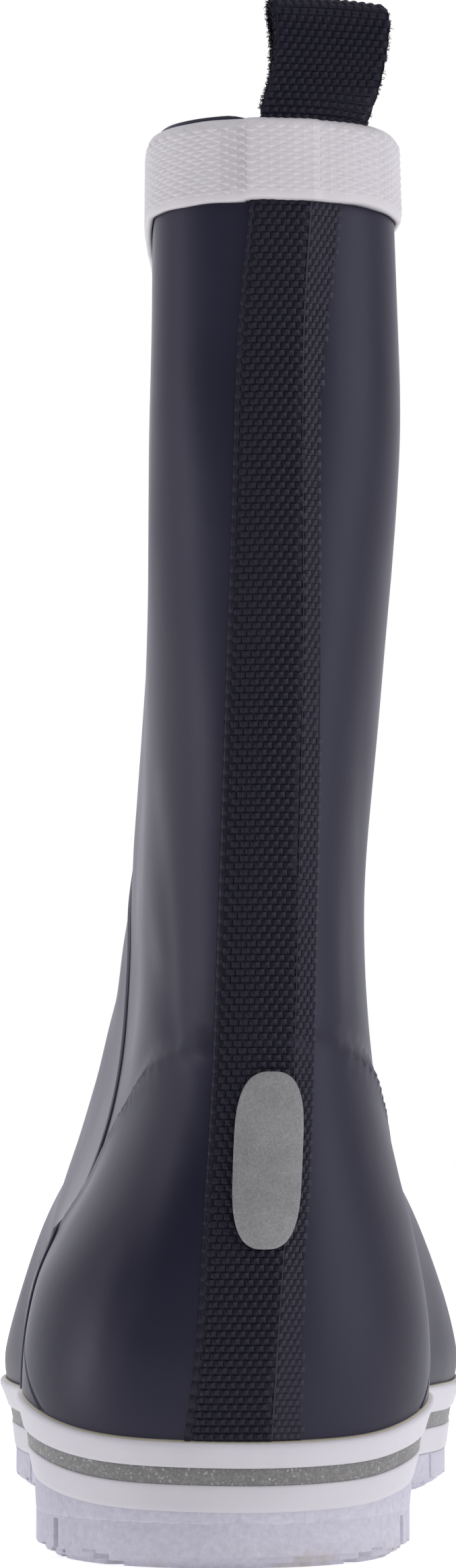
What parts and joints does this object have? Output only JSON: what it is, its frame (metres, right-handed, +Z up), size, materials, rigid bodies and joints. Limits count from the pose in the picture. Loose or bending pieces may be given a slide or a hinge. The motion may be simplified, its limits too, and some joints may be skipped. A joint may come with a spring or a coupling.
{
  "type": "deck boot",
  "caption": "Child's knee-high rubber deck boot for the left foot, with a banded white sole, textured top band, embossed back strip, reflective patch and a webbing pull loop.",
  "frame": {"origin": "on the ground under the middle of the heel", "axes": "+Y towards the toe, +Z up the leg, +X towards the inner side of the foot"},
  "size_m": [0.0926, 0.2316, 0.255],
  "materials": {
    "navy_rubber": "satin smooth",
    "navy_emboss": "matte embossed",
    "white_emboss": "matte embossed",
    "foxing_white": "satin smooth",
    "foxing_grey": "fine glitter",
    "outsole_white": "matte fine grain",
    "webbing": "rubber-coated woven webbing",
    "knit": "fine cotton knit",
    "tape": "woven tape",
    "board": "pressed fibre",
    "stiffener_board": "matte",
    "foam": "matte sponge",
    "footbed_cloth": "cloth-covered foam",
    "reflective": "fine-grained reflective"
  },
  "bodies": {
    "boot": {"outsole": "outsole_white", "foxing_lower": "foxing_white", "foxing_stripe": "foxing_grey", "foxing_upper": "foxing_white", "bottom_filler": "foam", "insole_board": "board", "heel_counter": "stiffener_board", "toe_puff": "stiffener_board", "leg_lining": "knit", "foot_lining": "knit", "leg_shell": "navy_rubber", "vamp": "navy_rubber", "toe_cap": "navy_rubber", "back_strip": "navy_emboss", "side_strip": "navy_emboss", "reflective_patch": "reflective", "top_band": "white_emboss", "collar_facing": "tape", "lining_seam_tape": "tape", "loop_outer_end": "webbing", "loop_inner_end": "webbing"},
    "footbed": {"footbed": "footbed_cloth"},
    "loop": {"pull_loop": "webbing"}
  },
  "joints": [
    {"name": "footbed_lift", "type": "hinge", "parent": "boot", "child": "footbed", "pos_m": [0.013, 0.1895, 0.0145], "axis": [-1, 0, 0], "range_deg": [0, 6]},
    {"name": "loop_fold", "type": "hinge", "parent": "boot", "child": "loop", "pos_m": [0.0133, -0.0187, 0.2352], "axis": [1, 0, 0], "range_deg": [-50, 60], "stiffness_Nm_per_rad": 0.002}
  ]
}
